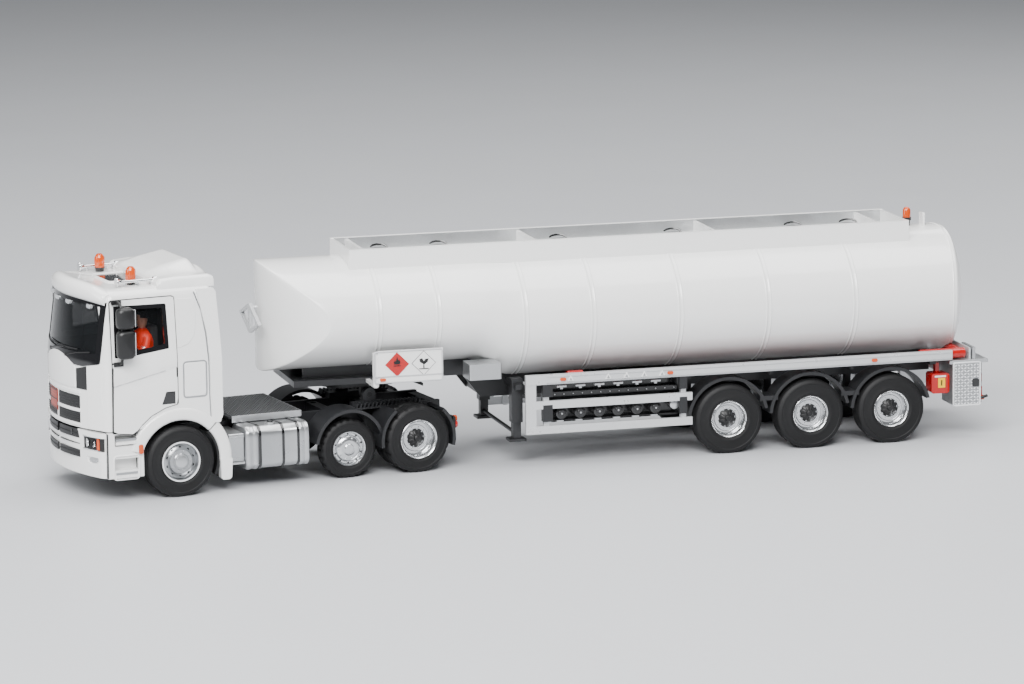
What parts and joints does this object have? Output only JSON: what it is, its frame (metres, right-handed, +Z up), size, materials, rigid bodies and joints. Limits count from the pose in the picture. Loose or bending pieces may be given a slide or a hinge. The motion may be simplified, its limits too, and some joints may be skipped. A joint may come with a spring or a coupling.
{
  "type": "road tanker truck model",
  "caption": "Display model of a road tanker: tilting-cab tractor with lift axle and fifth wheel, coupled to a white tank semi-trailer with side rails, couplers and walkway trough",
  "frame": {"origin": "bottom centre of the bounding box, on the ground plane under the tyres", "axes": "X runs along the semi-trailer from nose (-X) to tail (+X); Y is across, the placard side shown first is -Y; Z is up"},
  "size_m": [0.2898, 0.0706, 0.0694],
  "materials": {
    "cab_white": "glossy white cab mouldings",
    "tank_white": "glossy white tank skin with reflection bands",
    "frame_grey": "semi-gloss dark grey chassis",
    "dark_trim": "fine-grained black trim",
    "guard_grey": "satin dark grey mudguards",
    "silver": "silver metallic lacquer",
    "rim_silver": "plated rims with black hub fill",
    "tyre_black": "treaded tyre rubber",
    "glazing": "clear tinted glazing in a black frame print",
    "lamp_clear": "chrome-backed lamp lens with amber edge",
    "lamp_red": "red and amber lamp lenses",
    "lamp_amber": "translucent amber lens",
    "chrome_trim": "bright chrome",
    "alloy": "lightly brushed metal",
    "tread_plate": "dark tread plate with bright edges",
    "steel": "turned steel",
    "guard_white": "white and silver guard boards with orange markers",
    "hose_red": "red end caps on grey tubes",
    "placard": "white boards with red edged diamonds",
    "coupler_black": "black caps with small levers",
    "box_red": "red box with a plain yellow label",
    "seat_grey": "grey seats and dash",
    "hi_vis": "orange jacket with silver stripes, skin and hair"
  },
  "bodies": {
    "tractor_chassis": {"chassis_frame": "frame_grey", "front_bumper": "cab_white", "headlamps": "lamp_clear", "step_panels": "cab_white", "wheel_rear_guards": "cab_white", "fuel_tank": "silver", "fuel_tank_straps": "dark_trim", "battery_box": "silver", "exhaust_box": "silver", "catwalk_plate": "tread_plate", "tractor_mudguards": "guard_grey", "tail_lamps": "lamp_red", "front_axle_beam": "frame_grey"},
    "cab": {"cab_shell": "cab_white", "cab_glazing": "glazing", "roof_spoiler": "cab_white", "front_grille": "dark_trim", "mirrors": "dark_trim", "air_horns": "chrome_trim", "roof_beacons": "lamp_amber", "cab_interior": "seat_grey", "steering_wheel": "dark_trim", "driver_figure": "hi_vis"},
    "knuckle_left": {"steering_knuckle_left": "frame_grey"},
    "knuckle_right": {"steering_knuckle_right": "frame_grey"},
    "front_wheel_left": {"front_rim_left": "rim_silver", "front_tyre_left": "tyre_black"},
    "front_wheel_right": {"front_rim_right": "rim_silver", "front_tyre_right": "tyre_black"},
    "steering_link": {"tie_rod": "frame_grey"},
    "lift_axle": {"lift_axle_carrier": "frame_grey"},
    "lift_axle_wheels": {"lift_axle_rims": "rim_silver", "lift_axle_tyres": "tyre_black"},
    "drive_axle_wheels": {"drive_axle_rims": "rim_silver", "drive_axle_tyres": "tyre_black"},
    "fifth_wheel": {"fifth_wheel_plate": "dark_trim"},
    "trailer": {"tank_shell": "tank_white", "walkway_coaming": "tank_white", "manhole_lids": "alloy", "nose_bracket": "guard_white", "trailer_frame": "frame_grey", "kingpin": "steel", "side_trays": "guard_white", "hose_tubes": "hose_red", "side_guards": "guard_white", "placard_boards": "placard", "tool_box": "silver", "outlet_couplers": "coupler_black", "trailer_mudguards": "guard_grey", "rear_boxes": "alloy", "extinguisher_boxes": "box_red", "rear_lamps": "lamp_red", "landing_leg_tubes": "frame_grey"},
    "landing_legs": {"landing_leg_feet": "frame_grey"},
    "trailer_axle_1": {"trailer_axle_1_rims": "rim_silver", "trailer_axle_1_tyres": "tyre_black"},
    "trailer_axle_2": {"trailer_axle_2_rims": "rim_silver", "trailer_axle_2_tyres": "tyre_black"},
    "trailer_axle_3": {"trailer_axle_3_rims": "rim_silver", "trailer_axle_3_tyres": "tyre_black"}
  },
  "joints": [
    {"name": "cab_tilt", "type": "hinge", "parent": "tractor_chassis", "child": "cab", "pos_m": [-0.14245, -0.00787, 0.0197], "axis": [0.1633, -0.9866, 0], "range_deg": [0, 40]},
    {"name": "steer_left", "type": "hinge", "parent": "tractor_chassis", "child": "knuckle_left", "pos_m": [-0.11287, -0.01878, 0.0106], "axis": [0, 0, 1], "range_deg": [-6, 6]},
    {"name": "steer_right", "type": "hinge", "parent": "tractor_chassis", "child": "knuckle_right", "pos_m": [-0.11796, 0.012, 0.0106], "axis": [0, 0, 1], "range_deg": [-6, 6]},
    {"name": "front_wheel_left_spin", "type": "hinge", "parent": "knuckle_left", "child": "front_wheel_left", "pos_m": [-0.11189, -0.0247, 0.0106], "axis": [-0.1633, 0.9866, 0], "continuous": true},
    {"name": "front_wheel_right_spin", "type": "hinge", "parent": "knuckle_right", "child": "front_wheel_right", "pos_m": [-0.11894, 0.01792, 0.0106], "axis": [-0.1633, 0.9866, 0], "continuous": true},
    {"name": "link_left", "type": "hinge", "parent": "knuckle_left", "child": "steering_link", "pos_m": [-0.10657, -0.01703, 0.0074], "axis": [0, 0, 1], "range_deg": [-6, 6]},
    {"name": "lift_axle_raise", "type": "slide", "parent": "tractor_chassis", "child": "lift_axle", "axis": [0, 0, 1], "range_m": [0, 0.0018]},
    {"name": "lift_wheels_spin", "type": "hinge", "parent": "lift_axle", "child": "lift_axle_wheels", "pos_m": [-0.06155, 0.00553, 0.0089], "axis": [-0.1633, 0.9866, 0], "continuous": true},
    {"name": "drive_wheels_spin", "type": "hinge", "parent": "tractor_chassis", "child": "drive_axle_wheels", "pos_m": [-0.04004, 0.00908, 0.0102], "axis": [-0.1633, 0.9866, 0], "continuous": true},
    {"name": "fifth_wheel_pitch", "type": "hinge", "parent": "tractor_chassis", "child": "fifth_wheel", "pos_m": [-0.0503, 0.00739, 0.0226], "axis": [-0.1633, 0.9866, 0], "range_deg": [-6, 6]},
    {"name": "kingpin_yaw", "type": "hinge", "parent": "fifth_wheel", "child": "trailer", "pos_m": [-0.0503, 0.00739, 0.0264], "axis": [0, 0, 1], "range_deg": [-80.6, 99.4]},
    {"name": "trailer_axle_1_spin", "type": "hinge", "parent": "trailer", "child": "trailer_axle_1", "pos_m": [0.0611, 0.00739, 0.0107], "axis": [0, 1, 0], "continuous": true},
    {"name": "trailer_axle_2_spin", "type": "hinge", "parent": "trailer", "child": "trailer_axle_2", "pos_m": [0.0873, 0.00739, 0.0107], "axis": [0, 1, 0], "continuous": true},
    {"name": "trailer_axle_3_spin", "type": "hinge", "parent": "trailer", "child": "trailer_axle_3", "pos_m": [0.1135, 0.00739, 0.0107], "axis": [0, 1, 0], "continuous": true},
    {"name": "landing_legs_lower", "type": "slide", "parent": "trailer", "child": "landing_legs", "axis": [0, 0, -1], "range_m": [0, 0.0062]}
  ],
  "couplings": [
    {"joint": "steer_right", "follows": "steer_left", "ratio": 1},
    {"joint": "link_left", "follows": "steer_left", "ratio": -1}
  ]
}
